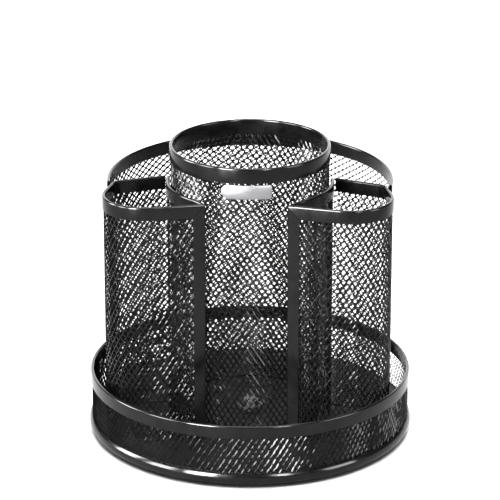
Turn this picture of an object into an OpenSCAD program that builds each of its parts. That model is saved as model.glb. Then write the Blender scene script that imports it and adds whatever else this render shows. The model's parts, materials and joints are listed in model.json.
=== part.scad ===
// Spinning desk organiser: a round mesh tray on a ball turntable, with a tall
// middle cup, two front pockets and a back compartment in expanded metal.
// The origin is on the table under the spin axis, +Z is up, the front faces -Y.

/* [Tray] */
// Outer diameter of the tray's mesh wall
tray_d = 192.6; // [188:0.2:240]
// Height of the tray's rim above the table
tray_h = 38.8; // [30:0.2:60]
// Height of the folded band round the tray's rim
tray_band_h = 8; // [5:0.5:12]
// Height of the rolled ring round the tray's foot
foot_ring_h = 7; // [6:0.5:8]
// How far the rolled ring stands out from the mesh
foot_ring_bulge = 1.6; // [1:0.1:2.5]

/* [Middle cup] */
// Outer diameter of the cup's mesh wall
cup_d = 94.6; // [78:0.2:100]
// Height of the cup's rim above the table
cup_h = 180; // [165:1:220]
// Height of the folded band round the cup's rim
cup_band_h = 9.3; // [6:0.1:14]

/* [Pockets] */
// Height of the pockets' rims above the table
pocket_h = 157.5; // [120:0.5:160]
// Clear width between the two pockets at the front
front_gap = 50; // [44:1:60]
// How far the pockets reach to the side of the axis
side_reach = 85; // [80:0.5:87]
// How far the pockets reach in front of the axis
front_reach = 53.5; // [51:0.5:60]
// Radius of each pocket's round outer corner
pocket_corner_r = 25; // [18:0.5:28]
// Radius of each pocket's back corner
pocket_back_r = 8; // [5:0.5:10]
// Slope of the front wall and of the side wall
wall_slope = 13.3; // [8:0.1:16]
// Distance of the pocket's back corner behind the round corner's centre
back_corner_y = 21.5; // [18:0.5:26]
// Height of the folded band round the pockets and the back wall
band_h = 8.2; // [5:0.1:12]
// Width of the upright trim on each pocket's front edge
trim_w = 6.2; // [4:0.1:9]

/* [Back wall] */
// Height of the back wall's rim above the table
back_h = 158.5; // [120:0.5:165]
// Radius of the back wall
back_r = 84.5; // [82:0.5:88]
// How far the centre of the back wall's arc lies behind the axis
back_shift = 2; // [0:0.5:4]

/* [Sheet metal] */
// Thickness of the expanded metal
mesh_t = 0.7; // [0.6:0.02:1.2]
// Thickness of the folded edge bands
fold_t = 0.5; // [0.4:0.1:0.8]
// Thickness of the tray floor
floor_t = 1; // [0.8:0.1:1.5]
// Thickness of the floor plates in the compartments
plate_t = 0.8; // [0.6:0.1:1.2]
// Clearance between nested sheets
fit_gap = 0.15; // [0.1:0.05:0.25]

/* [Turntable] */
// Diameter of the base plate
base_d = 148; // [120:1:160]
// Thickness of the base plate
base_t = 1.2; // [1:0.1:2]
// Height of the rubber feet
foot_h = 1.6; // [1.6:0.1:3]
// Diameter of the bearing balls
ball_d = 4; // [3.6:0.1:5]
// Number of bearing balls
ball_count = 24; // [12:1:30]
// Radius of the circle that the balls run on
ball_circle_r = 38; // [37:0.5:39]
// Running clearance between balls and races
race_gap = 0.05; // [0.03:0.01:0.1]
// Diameter of the pivot bolt
pivot_d = 6; // [5:0.1:8]
// Running clearance round the pivot bolt, on the radius
pivot_gap = 0.08; // [0.05:0.01:0.1]

/* [Badge] */
// Length of the blank badge
badge_l = 29.5; // [20:0.5:36]
// Height of the blank badge
badge_h = 8.4; // [6:0.1:12]
// Thickness of the blank badge
badge_t = 0.8; // [0.6:0.1:1.5]

/* [Hidden] */

$fn = 96;
small_fn = 32;
groove_fn = 48;
// How far a cut runs past what it cuts
through = 1;
black = [0.08, 0.08, 0.085];
steel = [0.72, 0.73, 0.75];
silver = [0.80, 0.80, 0.80];
rubber = [0.12, 0.12, 0.12];
nylon = [0.10, 0.10, 0.10];

// Half thicknesses about the middle of a mesh wall
mesh_half = mesh_t / 2;
slot_half = mesh_half + fit_gap;
fold_half = slot_half + fold_t;

// Heights of the turntable's layers, from the table up
base_z = foot_h;
lower_race_z = base_z + base_t;
race_floor = 0.6;
race_roof = 0.8;
race_split = 0.65;
ball_r = ball_d / 2;
groove_r = ball_r + race_gap;
ball_z = lower_race_z + race_floor + groove_r;
race_half_gap = race_split * ball_r;
upper_race_z = ball_z + race_half_gap;
floor_z = ball_z + groove_r + race_roof;
plate_z = floor_z + floor_t;
top_z = plate_z + plate_t;

// Bearing rings
race_in_w = 10;
race_out_w = 6;
race_r_in = ball_circle_r - race_in_w;
race_r_out = ball_circle_r + race_out_w;
cage_half_w = 3.5;
cage_t = 0.3 * ball_d;
cage_gap = 0.1;
rivet_inset = 6.5;
rivet_circle_r = ball_circle_r - rivet_inset;
rivet_r = 1.5;
rivet_hole_r = rivet_r + fit_gap / 2;
rivet_head_r = 2.2;
rivet_head_h = 0.8;
race_rivets = 4;

// Pivot
pivot_r = pivot_d / 2;
bush_wall = 2;
bush_flange_w = 3;
bush_r = pivot_r + bush_wall;
bush_flange_r = bush_r + bush_flange_w;
bush_flange_t = 0.8;
running_gap = 0.3;
washer_t = 0.8;
washer_w = 4.2;
washer_r = pivot_r + washer_w;
washer_z = top_z + bush_flange_t + running_gap;
nut_h = 3;
nut_r = 0.9 * pivot_d;
nut_z = washer_z + washer_t;
bolt_tip = 0.8;
bolt_top_z = nut_z + nut_h + bolt_tip;
bolt_head_w = 5;
bolt_head_r = pivot_r + bolt_head_w;
bolt_head_h = 0.8;

// Rubber feet
foot_r = 7;
foot_inset = 5;
foot_circle_r = base_d / 2 - foot_r - foot_inset;
feet = 4;

// Tray
tray_r = tray_d / 2;
ring_overlap = 0.6;
ring_clearance = 1.2;
ring_z = max(ring_clearance, floor_z + ring_overlap - foot_ring_h);
ring_web_t = 0.9;
flange_t = mesh_t;
floor_r = tray_r - mesh_t - fit_gap;
ring_leg_t = mesh_t;
ring_leg_h = 0.7 * foot_ring_h;
ring_edge_t = 0.3;

// Cup
cup_r = cup_d / 2;
cup_inner_r = cup_r - mesh_t;

// Walls that wrap the cup, with a gap that clears their folded bands
wrap_r = cup_r - mesh_half + 2 * fold_half + 2 * fit_gap;
divider_angle = 5;
wrap_end_angle = -52;

// Pocket outline, on the middle of the wall, for the right pocket
corner_c = [side_reach - pocket_corner_r, pocket_corner_r - front_reach];
front_tangent = corner_c - pocket_corner_r * [sin(wall_slope), cos(wall_slope)];
front_corner = [
    front_gap / 2,
    front_tangent.y + (front_tangent.x - front_gap / 2) * tan(wall_slope)
];
side_tangent = corner_c + pocket_corner_r * [cos(wall_slope), sin(wall_slope)];
back_corner = [
    side_tangent.x - (corner_c.y + back_corner_y - side_tangent.y) * tan(wall_slope),
    corner_c.y + back_corner_y
];
divider_gap = fold_half + fit_gap;
divider_end = (wrap_r + fold_half + divider_gap) * [cos(divider_angle), sin(divider_angle)];
arc_steps = 30;

// Back wall: the ends stop beside the pockets' side walls, clear of their bands
side_clearance = 0.35;
side_line = side_tangent * [cos(wall_slope), sin(wall_slope)];
back_end_line = side_line + 2 * fold_half + side_clearance;
back_end_angle = wall_slope - acos((back_end_line - back_shift * sin(wall_slope)) / back_r);

// Rivets that hold the floor plates, as points on the right half and the middle
front_rivet_along = 16.5;
front_rivet_inset = 4;
front_rivet = front_corner
    + front_rivet_along * [cos(wall_slope), -sin(wall_slope)]
    + front_rivet_inset * [sin(wall_slope), cos(wall_slope)];
pocket_rivets = [front_rivet, corner_c + [8, -1.5]];
back_rivet_inset = 16.5;
back_rivet_r = back_r - back_rivet_inset;
back_rivet_angle = 26.5;
back_side_rivet = back_rivet_r * [cos(back_rivet_angle), sin(back_rivet_angle)];
back_floor_angle = 8;

// Badge
badge_round_r = 1.2;
badge_drop = 1;
badge_z = cup_h - cup_band_h - badge_drop - badge_h / 2;
badge_post_x = 0.3 * badge_l;
badge_post_r = 1;
badge_post_root = 0.3;
badge_post_tip = 1;
badge_post_hole_r = badge_post_r + fit_gap;
badge_r = cup_r + fit_gap;
retainer_r = 2.4;
retainer_t = 0.6;

// How far the mitre's cutting prisms reach past the bands
mitre_reach = 20;
mitre_slope = band_h / (trim_w + fold_half);

// Points of an arc about c from angle a to angle b
function arc(c, r, a, b, steps = arc_steps) =
    [for (i = [0:steps]) c + r * [cos(a + (b - a) * i / steps), sin(a + (b - a) * i / steps)]];

function unit(v) = v / norm(v);

function heading(v) = atan2(v.y, v.x);

// Arc of radius r that rounds the corner q between the points p and s
function fillet(p, q, s, r, steps = 8) =
    let (u = unit(p - q), v = unit(s - q))
    let (half = acos(u * v) / 2)
    let (c = q + unit(u + v) * r / sin(half))
    let (a = heading(q + u * r / tan(half) - c), b = heading(q + v * r / tan(half) - c))
    let (turn = b - a > 180 ? -360 : b - a < -180 ? 360 : 0)
    arc(c, r, a, b + turn, steps);

// Normal of the path p at its point i, long enough to keep a strip's width
function side_step(p, i) =
    let (last = len(p) - 1)
    let (u = unit(p[max(i, 1)] - p[max(i, 1) - 1]))
    let (v = unit(p[min(i, last - 1) + 1] - p[min(i, last - 1)]))
    let (n = unit([-u.y - v.y, u.x + v.x]))
    n / (n * [-v.y, v.x]);

// The path p moved sideways by d
function beside(p, d) = [for (i = [0:len(p) - 1]) p[i] + d * side_step(p, i)];

// The path p with its ends moved outwards by d
function longer(p, d) =
    let (last = len(p) - 1)
    concat(
        [p[0] + d * unit(p[0] - p[1])],
        [for (i = [1:last - 1]) p[i]],
        [p[last] + d * unit(p[last] - p[last - 1])]
    );

function reversed(p) = [for (i = [len(p) - 1:-1:0]) p[i]];

// Front corner, front wall, round corner, side wall, back corner and divider
pocket_path = concat(
    [front_corner],
    arc(corner_c, pocket_corner_r, -90 - wall_slope, wall_slope),
    fillet(side_tangent, back_corner, divider_end, pocket_back_r),
    [divider_end]
);

// Wall of the pocket that wraps the cup, from the divider to the front corner
wrap_end = front_corner + [fold_half + fit_gap, 2 * fold_half + fit_gap];
wrap_path = concat(
    arc([0, 0], wrap_r, divider_angle, wrap_end_angle),
    [wrap_end]
);

back_path = arc([0, back_shift], back_r, back_end_angle, 180 - back_end_angle, 2 * arc_steps);

// Strip along the path p, from d0 to d1 beside it
module strip(p, d0, d1) {
    polygon(concat(beside(p, d0), reversed(beside(p, d1))));
}

// Upright wall along the path p, from d0 to d1 beside it
module wall(p, d0, d1, z0, z1) {
    translate([0, 0, z0])
        linear_extrude(z1 - z0)
            strip(p, d0, d1);
}

// Mesh wall along the path p, up to the fold of a band whose top is at z
module mesh_wall(p, z) {
    wall(p, -mesh_half, mesh_half, plate_z, z - fold_t);
}

// Folded band of height h over the top edge of a mesh wall
module folded_band(p, h, z) {
    difference() {
        wall(p, -fold_half, fold_half, z - h, z);
        wall(longer(p, through), -slot_half, slot_half, z - h - through, z - fold_t);
    }
}

// Tube about the axis
module tube(r_in, r_out, z0, z1) {
    translate([0, 0, z0])
        difference() {
            cylinder(r = r_out, h = z1 - z0);
            translate([0, 0, -through])
                cylinder(r = r_in, h = z1 - z0 + 2 * through);
        }
}

module disc(r, z0, z1) {
    translate([0, 0, z0])
        cylinder(r = r, h = z1 - z0);
}

// Folded band over the top edge of a round mesh wall of outer radius r
module round_band(r, h, z) {
    rotate_extrude()
        difference() {
            band_section(r - mesh_half, fold_half, h, z);
            translate([r - mesh_half - slot_half, z - h - through])
                square([2 * slot_half, h + through - fold_t]);
        }
}

// Upright band with a rounded top, centred on the radius r
module band_section(r, half, h, z) {
    translate([r - half, z - h])
        square([2 * half, h - half]);
    translate([r, z - half])
        circle(r = half, $fn = small_fn);
}

// Holes or shanks at equal steps round the axis
module around(count, r, start = 45) {
    for (i = [0:count - 1])
        rotate([0, 0, start + 360 * i / count])
            translate([r, 0, 0])
                children();
}

// Rivet with a head at both ends of a grip from z0 to z1
module rivet(z0, z1) {
    translate([0, 0, z0 - rivet_head_h])
        cylinder(r = rivet_head_r, h = rivet_head_h, $fn = small_fn);
    translate([0, 0, z0])
        cylinder(r = rivet_r, h = z1 - z0, $fn = small_fn);
    translate([0, 0, z1])
        cylinder(r = rivet_head_r, h = rivet_head_h, $fn = small_fn);
}

module rivet_hole(z0, z1) {
    translate([0, 0, z0 - through])
        cylinder(r = rivet_hole_r, h = z1 - z0 + 2 * through, $fn = small_fn);
}

// Every place where a rivet holds a floor plate
module plate_rivet_places() {
    for (side = [-1, 1])
        for (p = concat(pocket_rivets, [back_side_rivet]))
            translate([side * p.x, p.y, 0])
                children();
    translate([0, back_rivet_r, 0])
        children();
}

module left() {
    mirror([1, 0, 0])
        children();
}

// Turntable, standing part

module base_plate() {
    color(steel)
        difference() {
            disc(base_d / 2, base_z, base_z + base_t);
            translate([0, 0, base_z - through])
                cylinder(r = pivot_r + fit_gap / 2, h = base_t + 2 * through);
            around(race_rivets, rivet_circle_r)
                rivet_hole(base_z, lower_race_z);
        }
}

module foot_pads() {
    color(rubber)
        around(feet, foot_circle_r)
            cylinder(r = foot_r, h = foot_h);
}

// Ring with a round groove for the balls
module race(z0, z1) {
    difference() {
        tube(race_r_in, race_r_out, z0, z1);
        translate([0, 0, ball_z])
            rotate_extrude()
                translate([ball_circle_r, 0])
                    circle(r = groove_r, $fn = groove_fn);
        around(race_rivets, rivet_circle_r)
            rivet_hole(z0, z1);
    }
}

module lower_race() {
    color(steel)
        race(lower_race_z, ball_z - race_half_gap);
}

module lower_race_rivets() {
    color(steel)
        around(race_rivets, rivet_circle_r)
            rivet(base_z, ball_z - race_half_gap);
}

module pivot_bolt() {
    color(steel) {
        disc(bolt_head_r, base_z - bolt_head_h, base_z);
        disc(pivot_r, base_z - bolt_head_h / 2, bolt_top_z);
    }
}

module nut_washer() {
    color(steel)
        tube(pivot_r + pivot_gap, washer_r, washer_z, nut_z);
}

module lock_nut() {
    color(steel)
        translate([0, 0, nut_z])
            difference() {
                cylinder(r = nut_r, h = nut_h, $fn = 6);
                translate([0, 0, -through])
                    cylinder(r = pivot_r + pivot_gap / 2, h = nut_h + 2 * through);
            }
}

// Turntable, balls

module ball_cage() {
    color(nylon)
        difference() {
            tube(ball_circle_r - cage_half_w, ball_circle_r + cage_half_w,
                ball_z - cage_t / 2, ball_z + cage_t / 2);
            around(ball_count, ball_circle_r, 0)
                translate([0, 0, ball_z - cage_t])
                    cylinder(r = ball_r + cage_gap, h = 2 * cage_t, $fn = small_fn);
        }
}

module bearing_balls() {
    color(steel)
        around(ball_count, ball_circle_r, 0)
            translate([0, 0, ball_z])
                sphere(r = ball_r, $fn = small_fn);
}

// Turntable, turning part

module upper_race() {
    color(steel)
        race(upper_race_z, floor_z);
}

module upper_race_rivets() {
    color(black)
        around(race_rivets, rivet_circle_r)
            rivet(upper_race_z, top_z);
}

module pivot_bush() {
    color(nylon)
        difference() {
            union() {
                disc(bush_r, floor_z, top_z + bush_flange_t);
                disc(bush_flange_r, top_z, top_z + bush_flange_t);
            }
            translate([0, 0, floor_z - through])
                cylinder(r = pivot_r + pivot_gap, h = top_z + bush_flange_t - floor_z + 2 * through);
        }
}

// Tray

module tray_floor() {
    color(black)
        difference() {
            union() {
                disc(floor_r, floor_z, plate_z);
                tube(floor_r - flange_t, floor_r, ring_z + ring_web_t, plate_z);
            }
            translate([0, 0, floor_z - through])
                cylinder(r = bush_r + fit_gap / 2, h = floor_t + 2 * through);
            around(race_rivets, rivet_circle_r)
                rivet_hole(floor_z, plate_z);
            plate_rivet_places()
                rivet_hole(floor_z, plate_z);
        }
}

module tray_mesh_wall() {
    color(black)
        tube(tray_r - mesh_t, tray_r, ring_z + ring_web_t, tray_h - fold_t);
}

module tray_top_rim() {
    color(black)
        round_band(tray_r, tray_band_h, tray_h);
}

// Rolled ring that grips the mesh and the floor's flange from below
module tray_foot_ring() {
    leg_r = tray_r + fit_gap;
    inner_r = floor_r - flange_t - fit_gap - ring_leg_t;
    chord = foot_ring_h / 2;
    roll = foot_ring_bulge - ring_edge_t;
    roll_r = (chord * chord + roll * roll) / (2 * roll);
    half_angle = asin(chord / roll_r);
    roll_c = [leg_r + foot_ring_bulge - roll_r, ring_z + chord];
    color(black)
        rotate_extrude()
            polygon(concat(
                arc(roll_c, roll_r, -half_angle, half_angle, 12),
                [
                    [leg_r, ring_z + foot_ring_h],
                    [leg_r, ring_z + ring_web_t],
                    [inner_r + ring_leg_t, ring_z + ring_web_t],
                    [inner_r + ring_leg_t, ring_z + ring_leg_h],
                    [inner_r, ring_z + ring_leg_h],
                    [inner_r, ring_z]
                ]
            ));
}

// Middle cup

module cup_floor() {
    color(black)
        difference() {
            disc(cup_inner_r - fit_gap, plate_z, top_z);
            translate([0, 0, plate_z - through])
                cylinder(r = bush_r + fit_gap / 2, h = plate_t + 2 * through);
            around(race_rivets, rivet_circle_r)
                rivet_hole(plate_z, top_z);
        }
}

module badge_posts(r, depth) {
    for (x = [-badge_post_x, badge_post_x])
        translate([x, -cup_r * cos(asin(x / cup_r)), badge_z])
            rotate([-90, 0, 0])
                translate([0, 0, -badge_post_root])
                    cylinder(r = r, h = depth + badge_post_root, $fn = small_fn);
}

module cup_mesh() {
    color(black)
        difference() {
            tube(cup_inner_r, cup_r, plate_z, cup_h - fold_t);
            badge_posts(badge_post_hole_r, mesh_t + 2 * through);
        }
}

module cup_top_rim() {
    color(black)
        round_band(cup_r, cup_band_h, cup_h);
}

// Outline of the badge: one end fully round, the other nearly square
module badge_outline() {
    translate([badge_h / 2 - badge_l / 2, 0])
        circle(r = badge_h / 2);
    translate([badge_h / 2 - badge_l / 2, -badge_h / 2])
        square([badge_l - badge_h / 2 - badge_round_r, badge_h]);
    translate([0, badge_round_r - badge_h / 2])
        square([badge_l / 2, badge_h - 2 * badge_round_r]);
    for (z = [-1, 1])
        translate([badge_l / 2 - badge_round_r, z * (badge_h / 2 - badge_round_r)])
            circle(r = badge_round_r, $fn = small_fn);
}

module badge_plate() {
    color(silver) {
        intersection() {
            tube(badge_r, badge_r + badge_t, badge_z - badge_h, badge_z + badge_h);
            translate([0, 0, badge_z])
                rotate([90, 0, 0])
                    linear_extrude(cup_d)
                        badge_outline();
        }
        badge_posts(badge_post_r, mesh_t + retainer_t + badge_post_tip);
    }
}

// Push-on rings that hold the badge's posts inside the cup
module badge_retainers() {
    color(steel)
        for (x = [-badge_post_x, badge_post_x])
            translate([x, -cup_inner_r * cos(asin((abs(x) + retainer_r) / cup_inner_r)), badge_z])
                rotate([-90, 0, 0])
                    translate([0, 0, fit_gap])
                        difference() {
                            cylinder(r = retainer_r, h = retainer_t, $fn = small_fn);
                            translate([0, 0, -through])
                                cylinder(
                                    r = badge_post_r + fit_gap / 2,
                                    h = retainer_t + 2 * through,
                                    $fn = small_fn
                                );
                        }
}

// Front pockets, drawn as the right one

// Places its children at the pocket's front corner, with X along the front wall
module at_front_corner() {
    translate(front_corner)
        rotate([0, 0, -wall_slope])
            children();
}

// Prism across the front wall, over an outline in the wall's own plane
module across_front_wall(points) {
    at_front_corner()
        rotate([90, 0, 0])
            linear_extrude(mitre_reach, center = true)
                polygon(points);
}

// All above the mitre between the upright trim and the rim band
module above_mitre(gap) {
    far = -fold_half - mitre_reach;
    across_front_wall([
        [far, pocket_h + gap + mitre_reach * mitre_slope],
        [trim_w, pocket_h - band_h + gap],
        [trim_w, pocket_h + gap + mitre_reach * mitre_slope]
    ]);
}

// All below the mitre, as far as the rim band reaches
module below_mitre() {
    near = -fold_half - through;
    across_front_wall([
        [near, pocket_h - band_h - through],
        [near, pocket_h + through * mitre_slope],
        [trim_w, pocket_h - band_h],
        [trim_w, pocket_h - band_h - through]
    ]);
}

module pocket_mesh() {
    color(black)
        mesh_wall(pocket_path, pocket_h);
}

module pocket_rim() {
    corner_edge = front_corner - fold_half * [cos(wall_slope), -sin(wall_slope)];
    color(black)
        difference() {
            folded_band(concat([corner_edge], pocket_path), band_h, pocket_h);
            below_mitre();
        }
}

module edge_trim() {
    color(black)
        difference() {
            at_front_corner()
                translate([0, 0, plate_z])
                    linear_extrude(pocket_h - plate_z)
                        difference() {
                            translate([-fold_half, -fold_half])
                                square([fold_half + trim_w, 2 * fold_half]);
                            translate([-fit_gap, -slot_half])
                                square([trim_w + fit_gap + through, 2 * slot_half]);
                        }
            above_mitre(-fit_gap);
        }
}

module inner_mesh() {
    color(black)
        mesh_wall(wrap_path, pocket_h);
}

module inner_rim() {
    color(black)
        folded_band(wrap_path, band_h, pocket_h);
}

module pocket_floor() {
    clear = fold_half + fit_gap;
    color(black)
        difference() {
            translate([0, 0, plate_z])
                linear_extrude(plate_t)
                    difference() {
                        polygon(concat(pocket_path, wrap_path));
                        strip(longer(pocket_path, clear), -clear, clear);
                        strip(longer(concat(wrap_path, [front_corner]), clear), -clear, clear);
                    }
            for (p = pocket_rivets)
                translate([p.x, p.y, 0])
                    rivet_hole(plate_z, top_z);
        }
}

module left_pocket_mesh() { left() pocket_mesh(); }
module left_pocket_rim() { left() pocket_rim(); }
module left_edge_trim() { left() edge_trim(); }
module left_inner_mesh() { left() inner_mesh(); }
module left_inner_rim() { left() inner_rim(); }
module left_pocket_floor() { left() pocket_floor(); }
module right_pocket_mesh() { pocket_mesh(); }
module right_pocket_rim() { pocket_rim(); }
module right_edge_trim() { edge_trim(); }
module right_inner_mesh() { inner_mesh(); }
module right_inner_rim() { inner_rim(); }
module right_pocket_floor() { pocket_floor(); }

// Back compartment

module back_mesh() {
    color(black)
        mesh_wall(back_path, back_h);
}

module back_rim() {
    color(black)
        folded_band(back_path, band_h, back_h);
}

module back_floor() {
    color(black)
        difference() {
            translate([0, 0, plate_z])
                linear_extrude(plate_t)
                    polygon(concat(
                        arc([0, back_shift], back_r - slot_half, 0, 180),
                        arc([0, 0], wrap_r + slot_half, 180 - back_floor_angle, back_floor_angle)
                    ));
            plate_rivet_places()
                rivet_hole(plate_z, top_z);
        }
}

module floor_rivets() {
    color(black)
        plate_rivet_places()
            rivet(floor_z, top_z);
}

base_plate();
foot_pads();
lower_race();
lower_race_rivets();
pivot_bolt();
nut_washer();
lock_nut();
ball_cage();
bearing_balls();
upper_race();
upper_race_rivets();
pivot_bush();
tray_floor();
tray_mesh_wall();
tray_top_rim();
tray_foot_ring();
cup_floor();
cup_mesh();
cup_top_rim();
badge_plate();
badge_retainers();
left_pocket_mesh();
left_pocket_rim();
left_edge_trim();
left_inner_mesh();
left_inner_rim();
left_pocket_floor();
right_pocket_mesh();
right_pocket_rim();
right_edge_trim();
right_inner_mesh();
right_inner_rim();
right_pocket_floor();
back_mesh();
back_rim();
back_floor();
floor_rivets();
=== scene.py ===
"""Looks for the spinning desk organiser: lattices, folded bands, badge, materials and studio."""
import json
import math

import bpy
import numpy as np
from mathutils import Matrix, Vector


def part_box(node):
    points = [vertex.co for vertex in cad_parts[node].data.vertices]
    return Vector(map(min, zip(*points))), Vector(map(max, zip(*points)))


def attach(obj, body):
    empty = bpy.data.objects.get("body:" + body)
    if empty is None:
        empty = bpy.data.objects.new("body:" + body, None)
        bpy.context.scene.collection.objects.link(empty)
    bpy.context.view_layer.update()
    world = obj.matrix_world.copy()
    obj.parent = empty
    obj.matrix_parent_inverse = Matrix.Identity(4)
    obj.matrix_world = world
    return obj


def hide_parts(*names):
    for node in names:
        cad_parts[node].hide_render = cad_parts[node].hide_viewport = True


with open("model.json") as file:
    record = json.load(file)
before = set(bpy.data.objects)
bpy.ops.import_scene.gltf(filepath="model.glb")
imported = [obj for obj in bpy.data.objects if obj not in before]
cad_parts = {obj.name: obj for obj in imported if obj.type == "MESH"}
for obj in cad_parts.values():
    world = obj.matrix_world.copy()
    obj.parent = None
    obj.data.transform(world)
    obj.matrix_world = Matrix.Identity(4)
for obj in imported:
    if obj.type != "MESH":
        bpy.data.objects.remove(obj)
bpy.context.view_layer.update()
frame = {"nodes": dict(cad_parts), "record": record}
MM = 0.001
BODY = "organiser"

# ---------------------------------------------------------------- camera

CAMERA_BACK = 1691 * MM      # from the spin axis, along the floor
CAMERA_UP = 741.2 * MM
CAMERA_PITCH = 20.4          # degrees below the horizon
CAMERA_TURN = 2.6            # the organiser stands a little turned on its base
CAMERA_LENS = 216            # on a 36 mm sensor
CAMERA_SEES = 50             # metres


def add_camera():
    data = bpy.data.cameras.new("camera")
    data.lens = CAMERA_LENS
    data.clip_end = CAMERA_SEES
    camera = bpy.data.objects.new("camera", data)
    turn = math.radians(CAMERA_TURN)
    camera.location = (CAMERA_BACK * math.sin(turn), -CAMERA_BACK * math.cos(turn), CAMERA_UP)
    camera.rotation_euler = (math.radians(90 - CAMERA_PITCH), 0, turn)
    bpy.context.collection.objects.link(camera)
    bpy.context.scene.camera = camera


add_camera()

# ---------------------------------------------------------------- materials

NOISE_LOW, NOISE_HIGH = 0.3, 0.7


class Nodes:
    """A material's node tree, with short calls for what the materials below need."""

    def __init__(self, name):
        self.material = bpy.data.materials.new(name)
        self.material.use_nodes = True
        self.tree = self.material.node_tree
        self.shader = self.tree.nodes["Principled BSDF"]
        self.place = self.tree.nodes.new("ShaderNodeTexCoord").outputs["Object"]

    def set(self, **values):
        for key, value in values.items():
            self.shader.inputs[key.replace("_", " ")].default_value = value

    def stretched(self, scale):
        """The place on the object, scaled along each axis to draw a noise out into streaks."""
        mapping = self.tree.nodes.new("ShaderNodeMapping")
        mapping.inputs["Scale"].default_value = scale
        self.tree.links.new(self.place, mapping.inputs["Vector"])
        return mapping.outputs["Vector"]

    def noise(self, scale, detail=3.0, vector=None):
        noise = self.tree.nodes.new("ShaderNodeTexNoise")
        noise.inputs["Scale"].default_value = scale
        noise.inputs["Detail"].default_value = detail
        self.tree.links.new(vector or self.place, noise.inputs["Vector"])
        return noise.outputs["Fac"]

    def colour(self, fac, dark, light, low=0.35, high=0.65):
        """Base colour that goes from dark to light as fac goes from low to high."""
        ramp = self.tree.nodes.new("ShaderNodeValToRGB")
        ramp.color_ramp.elements[0].position = low
        ramp.color_ramp.elements[1].position = high
        ramp.color_ramp.elements[0].color = (*dark, 1)
        ramp.color_ramp.elements[1].color = (*light, 1)
        self.tree.links.new(fac, ramp.inputs["Fac"])
        self.tree.links.new(ramp.outputs["Color"], self.shader.inputs["Base Color"])

    def roughness(self, fac, low, high):
        """Roughness from low to high over the range where a noise mostly lies."""
        spread = self.tree.nodes.new("ShaderNodeMapRange")
        spread.inputs["From Min"].default_value = NOISE_LOW
        spread.inputs["From Max"].default_value = NOISE_HIGH
        spread.inputs["To Min"].default_value = low
        spread.inputs["To Max"].default_value = high
        self.tree.links.new(fac, spread.inputs["Value"])
        self.tree.links.new(spread.outputs["Result"], self.shader.inputs["Roughness"])

    def bump(self, fac, strength, distance):
        bump = self.tree.nodes.new("ShaderNodeBump")
        bump.inputs["Strength"].default_value = strength
        bump.inputs["Distance"].default_value = distance
        self.tree.links.new(fac, bump.inputs["Height"])
        self.tree.links.new(bump.outputs["Normal"], self.shader.inputs["Normal"])


def enamel(name, dark, light, rough, shine, grain, bump):
    """Black stove enamel: uneven tone and gloss, with a slight orange peel of the given grain."""
    n = Nodes(name)
    n.set(Specular_IOR_Level=shine)
    n.colour(n.noise(scale=90), dark, light)
    n.roughness(n.noise(scale=260, detail=4.0), *rough)
    n.bump(n.noise(scale=grain, detail=2.0), strength=bump, distance=0.05 * MM)
    return n.material


CLOUD_TONE = 0.86            # the darkest tone of a plated surface, as a share of its colour


def plated(name, base, rough, streaks):
    """Plated or polished metal, a little cloudy, with fine streaks."""
    n = Nodes(name)
    n.set(Metallic=1.0)
    dark = tuple(CLOUD_TONE * c for c in base)
    n.colour(n.noise(scale=60, detail=4.0), dark, base, NOISE_LOW, NOISE_HIGH)
    fine = n.noise(scale=420, detail=3.0, vector=n.stretched(streaks))
    n.roughness(fine, *rough)
    n.bump(fine, strength=0.12, distance=0.03 * MM)
    return n.material


def plain_solid(name, dark, light, rough, grain, bump):
    """Rubber or nylon, with a fine moulded grain."""
    n = Nodes(name)
    n.colour(n.noise(scale=140, detail=4.0), dark, light)
    n.roughness(n.noise(scale=300), *rough)
    n.bump(n.noise(scale=grain, detail=5.0), strength=bump, distance=0.1 * MM)
    return n.material


def grey(value):
    return (value, value, value)


MESH_PAINT = enamel(
    "mesh_paint", grey(0.0004), grey(0.0010), rough=(0.10, 0.20), shine=0.085, grain=1500, bump=0.12
)
BAND_PAINT = enamel(
    "band_paint", grey(0.0004), grey(0.0010), rough=(0.12, 0.20), shine=0.16, grain=900, bump=0.08
)
SHEET_PAINT = enamel(
    "sheet_paint", grey(0.0010), grey(0.0020), rough=(0.45, 0.60), shine=0.10, grain=700, bump=0.15
)
ZINC = plated("zinc_plate", (0.13, 0.13, 0.135), rough=(0.34, 0.46), streaks=(1, 1, 6))
BALL_STEEL = plated("ball_steel", (0.75, 0.76, 0.78), rough=(0.06, 0.12), streaks=(1, 1, 1))
BADGE_METAL = plated("badge_metal", (0.20, 0.20, 0.205), rough=(0.26, 0.38), streaks=(0.4, 1, 9))
RUBBER = plain_solid(
    "foot_rubber", grey(0.012), grey(0.03), rough=(0.75, 0.92), grain=1800, bump=0.5
)
NYLON = plain_solid("nylon", grey(0.010), grey(0.018), rough=(0.38, 0.52), grain=900, bump=0.2)

SLOT_MATERIAL = {
    "black_mesh": MESH_PAINT,
    "black_band": BAND_PAINT,
    "black_sheet": SHEET_PAINT,
    "zinc_steel": ZINC,
    "ball_steel": BALL_STEEL,
    "rubber": RUBBER,
    "nylon": NYLON,
    "badge_metal": BADGE_METAL,
}
NODE_SLOT = {s["node"]: s["material_slot"] for s in frame["record"]["subparts"]}

# ---------------------------------------------------------------- mesh helpers

SAME_HEIGHT = 1e-6
WALL_HALF = 0.35 * MM        # half of a CAD mesh wall
SHEET_GAP = 0.15 * MM        # between nested sheets


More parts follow.
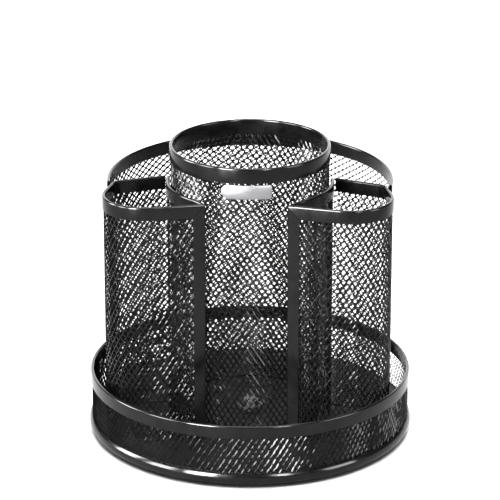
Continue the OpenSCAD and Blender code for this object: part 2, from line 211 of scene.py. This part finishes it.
def add_piece(name, points, faces, node, smooth_angle=40):
    """A new piece that stands for a CAD node, rides with it and takes its material."""
    mesh = bpy.data.meshes.new(name)
    mesh.from_pydata(points, [], faces)
    mesh.validate()
    mesh.polygons.foreach_set("use_smooth", [True] * len(mesh.polygons))
    mesh.set_sharp_from_angle(angle=math.radians(smooth_angle))
    mesh.materials.append(SLOT_MATERIAL[NODE_SLOT[node]])
    piece = bpy.data.objects.new(name, mesh)
    bpy.context.collection.objects.link(piece)
    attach(piece, BODY)
    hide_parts(node)
    return piece


def tube_faces(stations, size, closed):
    """The faces between rings of points that follow one another, each of the same size."""
    faces = []
    for k in range(stations if closed else stations - 1):
        base, following = k * size, (k + 1) % stations * size
        for i in range(size):
            j = (i + 1) % size
            faces.append((base + i, following + i, following + j, base + j))
    return faces


class Line:
    """A wall's middle line seen from above, with its left-hand normal, by arc length."""

    def __init__(self, points, closed=False):
        self.closed = closed
        points = np.asarray(points, float)
        if closed:
            points = np.vstack([points, points[:1]])
        steps = np.diff(points, axis=0)
        lengths = np.hypot(*steps.T)
        tangents = steps / lengths[:, None]
        if closed:
            before = np.vstack([tangents[-1:], tangents])
            after = np.vstack([tangents, tangents[:1]])
        else:
            before = np.vstack([tangents[:1], tangents])
            after = np.vstack([tangents, tangents[-1:]])
        along = before + after
        along /= np.hypot(*along.T)[:, None]
        self.points = points
        self.normals = np.stack([-along[:, 1], along[:, 0]], 1)
        self.at = np.concatenate([[0], np.cumsum(lengths)])
        self.length = self.at[-1]
        self.start, self.end = tangents[0], tangents[-1]

    def place(self, s, d):
        """World x and y at arc length s, d beside the line, straight on past an open end."""
        s = np.asarray(s, float)
        if self.closed:
            s = np.mod(s, self.length)
        inside = np.clip(s, 0, self.length)
        x, y, nx, ny = (
            np.interp(inside, self.at, v)
            for v in (*self.points.T, *self.normals.T)
        )
        size = np.hypot(nx, ny)
        past = s - inside
        ahead = np.where(past[..., None] < 0, self.start, self.end) * past[..., None]
        return x + d * nx / size + ahead[..., 0], y + d * ny / size + ahead[..., 1]


def mid_radius(node):
    """The radius of the middle of a round CAD mesh wall."""
    low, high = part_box(node)
    return (high.x - low.x) / 2 - WALL_HALF


def circle_line(radius, steps=240):
    turn = np.arange(steps) * 2 * math.pi / steps
    return Line(radius * np.stack([np.cos(turn), np.sin(turn)], 1), closed=True)


def lower_outline(mesh):
    """The corners of a mesh's lower face in order, as x and y."""
    low = min(v.co.z for v in mesh.vertices)
    number = {}
    spots = []
    spot_of = {}
    for v in mesh.vertices:
        if v.co.z < low + SAME_HEIGHT:
            spot = (round(v.co.x, 6), round(v.co.y, 6))
            if spot not in number:
                number[spot] = len(spots)
                spots.append(spot)
            spot_of[v.index] = number[spot]
    count = {}
    for polygon in mesh.polygons:
        ring = [spot_of.get(i) for i in polygon.vertices]
        if None in ring:
            continue
        for a, b in zip(ring, ring[1:] + ring[:1]):
            if a != b:
                edge = (min(a, b), max(a, b))
                count[edge] = count.get(edge, 0) + 1
    beside = {}
    for (a, b), uses in count.items():
        if uses == 1:
            beside.setdefault(a, []).append(b)
            beside.setdefault(b, []).append(a)
    loop = [0]
    previous = None
    while True:
        step = [b for b in beside[loop[-1]] if b != previous][0]
        if step == 0:
            break
        previous = loop[-1]
        loop.append(step)
    return np.array([spots[i] for i in loop])


def wall_line(node):
    """The middle line of a CAD mesh wall: halfway between the two long sides of its outline."""
    outline = lower_outline(frame["nodes"][node].data)
    half = len(outline) // 2
    ends = np.hypot(*(outline - np.roll(outline, -1, axis=0)).T)
    partners = ends + np.roll(ends, -half)
    first = int(np.argmin(np.where(np.arange(len(outline)) < half, partners, np.inf))) + 1
    outline = np.roll(outline, -first, axis=0)
    return Line((outline[:half] + outline[half:][::-1]) / 2)


# ---------------------------------------------------------------- expanded metal

STRAND_W = 0.70 * MM
STRAND_T = 0.30 * MM         # at the middle of a strand
STRAND_EDGE_T = 0.22 * MM
STRAND_TILT = 0.33 * MM
STRAND_UNEVEN = 0.28         # how much the tilt differs from strand to strand
HOLE_END = 0.24              # how much of a hole's pointed end is cut flat
EDGE_GAP = 0.05 * MM         # between a lattice's edge and the end of its CAD wall
UNEVEN_TURNS = (12.9, 78.2, 3.7)     # per column, per row and for both, to scatter the strands


def unevenness(i, j):
    """A steady number for the hole in column i and row j, scattered about 1."""
    column, row, both = UNEVEN_TURNS
    return 1 + STRAND_UNEVEN * math.sin(column * i + row * j + both * i * j)


def diamonds(line, low, high, pitch_s, pitch_z, twist):
    """The expanded metal laid flat, in diamonds about pitch_s wide and pitch_z tall.

    A point is its place along the line, its height, its depth out of the sheet and half the
    strand's thickness there. twist is the way the strands tilt out of the sheet, and how far.
    """
    across = max(1, round(line.length / pitch_s))
    up = max(1, round((high - low) / pitch_z))
    a = line.length / across / 2
    b = (high - low) / up / 2
    inset = 1 - STRAND_W / 2 * math.hypot(a, b) / (a * b)
    columns = 2 * across + (0 if line.closed else 1)
    rows = 2 * up + 1
    number = {}
    flat = []

    def node(i, j):
        tag = (i % columns if line.closed else i, j)
        if tag not in number:
            number[tag] = len(flat)
            flat.append((i * a, low + j * b, 0.0, STRAND_T / 2))
        return number[tag]

    along = inset * a
    cut = HOLE_END * along
    rise = inset * b * (1 - HOLE_END)
    hole = [(-along, 0), (-cut, -rise), (cut, -rise), (along, 0), (cut, rise), (-cut, rise)]
    faces = []
    first_column = 0 if line.closed else 1
    for j in range(1, rows - 1):
        for i in range(first_column, 2 * across):
            if (i + j) % 2 == 0:
                continue
            left, bottom = node(i - 1, j), node(i, j - 1)
            right, top = node(i + 1, j), node(i, j + 1)
            base = len(flat)
            tilt = unevenness(i, j) * STRAND_TILT
            for x, z in hole:
                # the hole's two points lean fully, its other corners half as much
                lean = tilt * (1 if abs(x) > cut else 0.5)
                depth = twist * math.copysign(lean, x)
                flat.append((i * a + x, low + j * b + z, depth, STRAND_EDGE_T / 2))
            h = [base + k for k in range(len(hole))]
            faces += [
                (left, bottom, h[1], h[0]), (bottom, h[2], h[1]), (bottom, right, h[3], h[2]),
                (right, top, h[4], h[3]), (top, h[5], h[4]), (top, left, h[0], h[5]),
            ]
    return np.array(flat), faces


def thickened(line, flat, fronts):
    """Points and faces of a flat sheet bent along a line, with its thickness and its rims."""
    count = len(flat)
    edges = {}
    for face in fronts:
        for p, q in zip(face, face[1:] + face[:1]):
            edges[(p, q)] = True
    rim = [(p, q) for p, q in edges if (q, p) not in edges]
    s, height, depth, half = flat.T
    points = []
    for side in (1, -1):
        x, y = line.place(s, depth + side * half)
        points.append(np.stack([x, y, height], 1))
    backs = [tuple(count + p for p in reversed(face)) for face in fronts]
    rims = [(q, p, count + p, count + q) for p, q in rim]
    return np.vstack(points), fronts + backs + rims


def mesh_wall(name, node, line, pitch_s, pitch_z, twist=1):
    """The expanded metal that stands for a CAD mesh wall."""
    low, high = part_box(node)
    bottom, top = low.z + EDGE_GAP, high.z - EDGE_GAP
    points, faces = thickened(line, *diamonds(line, bottom, top, pitch_s, pitch_z, twist))
    return add_piece(name, points.tolist(), faces, node, smooth_angle=30)


# ---------------------------------------------------------------- folded bands

FOLD_HALF = 1.0 * MM
SLOT_HALF = 0.5 * MM
FOLD_ARC = 8                 # steps round the fold
FOLD_LIP = 0.12 * MM         # bevel of the sheet's cut edges
MITRE_GAP = 0.12 * MM        # between a band and the upright trim below it
MITRE_END = 0.05 * MM        # the first upright section stands this far past the mitre
MITRE_CLEAR = 0.3 * MM       # and the next of the line's own points at least this far
FOOT_GAP = 0.02 * MM


def fold_section(height):
    """A sheet folded over an edge: (across, down from the fold) outside, then the same inside."""
    rounds = [math.pi * k / FOLD_ARC for k in range(FOLD_ARC + 1)]
    edge = height - FOLD_LIP
    outside = [(-FOLD_HALF + FOLD_LIP, height), (-FOLD_HALF, edge)]
    outside += [(-FOLD_HALF * math.cos(t), FOLD_HALF * (1 - math.sin(t))) for t in rounds]
    outside += [(FOLD_HALF, edge), (FOLD_HALF - FOLD_LIP, height)]
    inside = [(-SLOT_HALF, height), (-SLOT_HALF, edge)]
    inside += [(-SLOT_HALF * math.cos(t), FOLD_HALF - SLOT_HALF * math.sin(t)) for t in rounds]
    inside += [(SLOT_HALF, edge), (SLOT_HALF, height)]
    return np.vstack([outside, inside[::-1]]).T


def swept(rings, closed):
    """Points and faces of a folded section carried along, with the open ends closed."""
    size = len(rings[0])
    faces = tube_faces(len(rings), size, closed)
    if not closed:
        last = (len(rings) - 1) * size
        for i in range(size // 2 - 1):
            m = size - 1 - i
            faces.append((i, i + 1, m - 1, m))
            faces.append((last + m, last + m - 1, last + i + 1, last + i))
    return np.vstack(rings), faces


def band(name, node, line, mitre=None):
    """A folded band over the top edge of a wall, which starts at a mitre if its width is given."""
    low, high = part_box(node)
    height = high.z - low.z
    across, down = fold_section(height)
    stations = list(line.at[:-1] if line.closed else line.at)
    rings = []
    if mitre is not None:
        start = -FOLD_HALF + down / height * (mitre + FOLD_HALF)
        x, y = line.place(start, across)
        rings.append(np.stack([x, y, high.z - down], 1))
        kept = [s for s in stations if s > mitre + MITRE_CLEAR]
        stations = [mitre + MITRE_END] + kept
    for s in stations:
        x, y = line.place(np.full(len(across), s), across)
        rings.append(np.stack([x, y, high.z - down], 1))
    points, faces = swept(rings, line.closed)
    return add_piece(name, points.tolist(), faces, node)


def upright_trim(name, node, line, width, band_height):
    """The folded strip on a pocket's front edge, cut off along the mitre at its top."""
    low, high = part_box(node)
    across, out = fold_section(width + FOLD_HALF)
    s = out - FOLD_HALF
    top = high.z - band_height * (s + FOLD_HALF) / (width + FOLD_HALF) - MITRE_GAP
    bottom = np.full(len(s), low.z + FOOT_GAP)
    x, y = line.place(s, across)
    rings = [np.stack([x, y, z], 1) for z in (bottom, top)]
    points, faces = swept(rings, closed=False)
    return add_piece(name, points.tolist(), faces, node)


# ---------------------------------------------------------------- the pieces

TALL = (3.7 * MM, 5.9 * MM)      # diamonds that stand upright
WIDE = (5.9 * MM, 3.7 * MM)      # diamonds that lie on their side
TRIM_W = 6.2 * MM

cup_line = circle_line(mid_radius("cup_mesh"))
tray_line = circle_line(mid_radius("tray_mesh_wall"), 360)
mesh_wall("cup_lattice", "cup_mesh", cup_line, *TALL, twist=-1)
band("cup_band", "cup_top_rim", cup_line)
mesh_wall("tray_lattice", "tray_mesh_wall", tray_line, *TALL)
band("tray_band", "tray_top_rim", tray_line)

for side in ("left", "right"):
    pocket = wall_line(f"{side}_pocket_mesh")
    wrap = wall_line(f"{side}_inner_mesh")
    if abs(pocket.points[0][1]) < abs(pocket.points[-1][1]):
        pocket = Line(pocket.points[::-1])
    rim_low, rim_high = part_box(f"{side}_pocket_rim")
    mesh_wall(f"{side}_pocket_lattice", f"{side}_pocket_mesh", pocket, *TALL, twist=0.6)
    band(f"{side}_pocket_band", f"{side}_pocket_rim", pocket, mitre=TRIM_W)
    band_height = rim_high.z - rim_low.z
    upright_trim(f"{side}_trim", f"{side}_edge_trim", pocket, TRIM_W, band_height)
    mesh_wall(f"{side}_inner_lattice", f"{side}_inner_mesh", wrap, *TALL)
    band(f"{side}_inner_band", f"{side}_inner_rim", wrap)

back_line = wall_line("back_mesh")
mesh_wall("back_lattice", "back_mesh", back_line, *WIDE)
band("back_band", "back_rim", back_line)


RING_WEB = 0.9 * MM
RING_LEG = 0.7 * MM
RING_LEG_DROP = 2 * MM       # the inner leg is this much lower than the roll
RING_DEPTH = 2.9 * MM        # from the mesh's outside to the inner leg's inside
RING_SHOULDER = 0.3 * MM     # the roll's edges stand this far out from the mesh
RING_STEPS = 288
ROLL_STEPS = 16


def foot_ring():
    """The rolled ring round the tray's foot, turned about the axis."""
    low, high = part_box("tray_foot_ring")
    outer = (high.x - low.x) / 2
    wall = mid_radius("tray_mesh_wall") + WALL_HALF + SHEET_GAP
    middle = (low.z + high.z) / 2
    half = (high.z - low.z) / 2
    belly = outer - wall - RING_SHOULDER
    roll = (belly**2 + half**2) / (2 * belly)
    reach = math.asin(half / roll)
    outline = []
    for k in range(ROLL_STEPS + 1):
        t = reach * (2 * k / ROLL_STEPS - 1)
        outline.append((outer - roll + roll * math.cos(t), middle + roll * math.sin(t)))
    inner = wall - RING_DEPTH
    web_top = low.z + RING_WEB
    leg_top = high.z - RING_LEG_DROP
    outline += [(wall, high.z), (wall, web_top), (inner + RING_LEG, web_top)]
    outline += [(inner + RING_LEG, leg_top), (inner, leg_top), (inner, low.z)]
    points = []
    for k in range(RING_STEPS):
        turn = 2 * math.pi * k / RING_STEPS
        points += [(r * math.cos(turn), r * math.sin(turn), z) for r, z in outline]
    faces = tube_faces(RING_STEPS, len(outline), closed=True)
    return add_piece("foot_roll", points, faces, "tray_foot_ring")


foot_ring()


BADGE_T = 0.8 * MM
BADGE_SOFT = 0.22 * MM       # radius of its softened edges
BADGE_CORNER = 1.2 * MM
BADGE_INSET = 0.02 * MM      # keeps its ends from closing to a point
BADGE_COLUMNS = 48
EDGE_SHARE = 0.3             # where the softened edge has its middle point


def badge():
    """A blank curved badge, one end round and one nearly square, with softened edges."""
    low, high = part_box("badge_plate")
    length = high.x - low.x
    half = (high.z - low.z) / 2
    middle = (low.z + high.z) / 2
    inner = mid_radius("cup_mesh") + WALL_HALF + SHEET_GAP
    outer = inner + BADGE_T
    soft = BADGE_SOFT
    corner = BADGE_CORNER

    def half_height(x):
        if x < low.x + half:
            return math.sqrt(max(half**2 - (low.x + half - x) ** 2, 0))
        if x > high.x - corner:
            return half - corner + math.sqrt(max(corner**2 - (x - high.x + corner) ** 2, 0))
        return half

    ease = [0.5 - 0.5 * math.cos(math.pi * k / BADGE_COLUMNS) for k in range(BADGE_COLUMNS + 1)]
    columns = [low.x + BADGE_INSET + (length - 2 * BADGE_INSET) * e for e in ease]
    points = []
    for x in columns:
        h = half_height(x)
        edge = min(soft, h * 0.5)
        end = min(x - low.x, high.x - x)
        drop = soft - math.sqrt(max(soft**2 - max(soft - end, 0) ** 2, 0))
        face = outer - drop
        shoulder = outer - soft * EDGE_SHARE - drop
        section = (
            (-h, outer - soft), (-h + edge * EDGE_SHARE, shoulder), (-h + edge, face), (0, face),
            (h - edge, face), (h - edge * EDGE_SHARE, shoulder), (h, outer - soft),
            (h, inner), (0, inner), (-h, inner),
        )
        points += [(x, -math.sqrt(r**2 - x**2), middle + z) for z, r in section]
    size = len(section)
    last = (len(columns) - 1) * size
    faces = tube_faces(len(columns), size, closed=False)
    faces.append(tuple(range(size)))
    faces.append(tuple(last + i for i in reversed(range(size))))
    return add_piece("badge_face", points, faces, "badge_plate", smooth_angle=50)


badge()


def paint_cad_nodes():
    """Each CAD node gets the material of its slot."""
    for node, part in frame["nodes"].items():
        material = SLOT_MATERIAL[NODE_SLOT[node]]
        if not part.material_slots:
            part.data.materials.append(material)
        for place in part.material_slots:
            place.material = material


paint_cad_nodes()

# ---------------------------------------------------------------- studio

FLOOR_REACH = 6.0            # metres, as in all the places and sizes of the lights below
FAR_FLOOR = 3.1              # where the floor is lit for views from the back and the sides
WORLD_STRENGTH = 0.30


def add_floor():
    mesh = bpy.data.meshes.new("floor")
    r = FLOOR_REACH
    corners = [(-r, -r, 0), (r, -r, 0), (r, r, 0), (-r, r, 0)]
    mesh.from_pydata(corners, [], [(0, 1, 2, 3)])
    n = Nodes("floor_white")
    n.colour(n.noise(scale=3), grey(0.82), grey(0.84))
    n.set(Roughness=0.6, Specular_IOR_Level=0.2)
    mesh.materials.append(n.material)
    floor = bpy.data.objects.new("floor", mesh)
    bpy.context.collection.objects.link(floor)
    return floor


def add_light(name, place, target, size, power, receivers=None, spread=180):
    """A soft rectangular light in watts, which lights all or only what its receivers say."""
    data = bpy.data.lights.new(name, "AREA")
    data.shape = "RECTANGLE"
    data.size, data.size_y = size
    data.energy = power
    data.spread = math.radians(spread)
    light = bpy.data.objects.new(name, data)
    light.location = place
    ahead = np.array(target) - np.array(place)
    tilt = math.atan2(math.hypot(ahead[0], ahead[1]), -ahead[2])
    light.rotation_euler = (tilt, 0, math.atan2(ahead[1], ahead[0]) - math.pi / 2)
    bpy.context.collection.objects.link(light)
    if receivers:
        light.light_linking.receiver_collection = receivers


def add_world():
    world = bpy.data.worlds.new("studio")
    world.use_nodes = True
    background = world.node_tree.nodes["Background"]
    background.inputs["Color"].default_value = (1, 1, 1, 1)
    background.inputs["Strength"].default_value = WORLD_STRENGTH
    bpy.context.scene.world = world


def add_studio():
    """White floor, broad light from above, and front lights that leave the floor alone."""
    add_world()
    bpy.context.scene.view_settings.view_transform = "Standard"
    floor = add_floor()
    flagged = bpy.data.collections.new("all_but_the_floor")
    flagged.objects.link(floor)
    flagged.collection_objects[0].light_linking.link_state = "EXCLUDE"
    floor_only = bpy.data.collections.new("floor_only")
    floor_only.objects.link(floor)
    middle = (0, 0, 0.09)                # the organiser's
    add_light("overhead", (0, 0.46, 1.4), (0, 0.46, 0), (2.4, 1.1), 12, spread=60)
    add_light("ceiling", (0, 2.4, 3.0), (0, 2.4, 0), (6.0, 4.0), 42, spread=70)
    for side, x, y in (("front", 0, -FAR_FLOOR), ("left", -FAR_FLOOR, 0), ("right", FAR_FLOOR, 0)):
        name = f"far_floor_{side}"
        add_light(name, (x, y, 2.4), (x, y, 0), (5.0, 2.6), 46, floor_only, spread=50)
    add_light("backdrop", (0, 1.6, 0.65), middle, (3.2, 1.2), 45)
    add_light("key", (-0.78, -1.30, 0.52), middle, (0.50, 0.95), 270, flagged)
    add_light("fill", (0.62, -1.30, 0.75), middle, (0.22, 0.60), 40, flagged)
    add_light("left_low", (-1.32, -0.75, 0.45), middle, (0.50, 0.80), 90, flagged)
    add_light("left_side", (-1.52, 0.02, 0.50), middle, (0.50, 0.80), 90, flagged)
    add_light("right_low", (1.35, -0.60, 0.36), middle, (0.60, 0.60), 30, flagged)


add_studio()
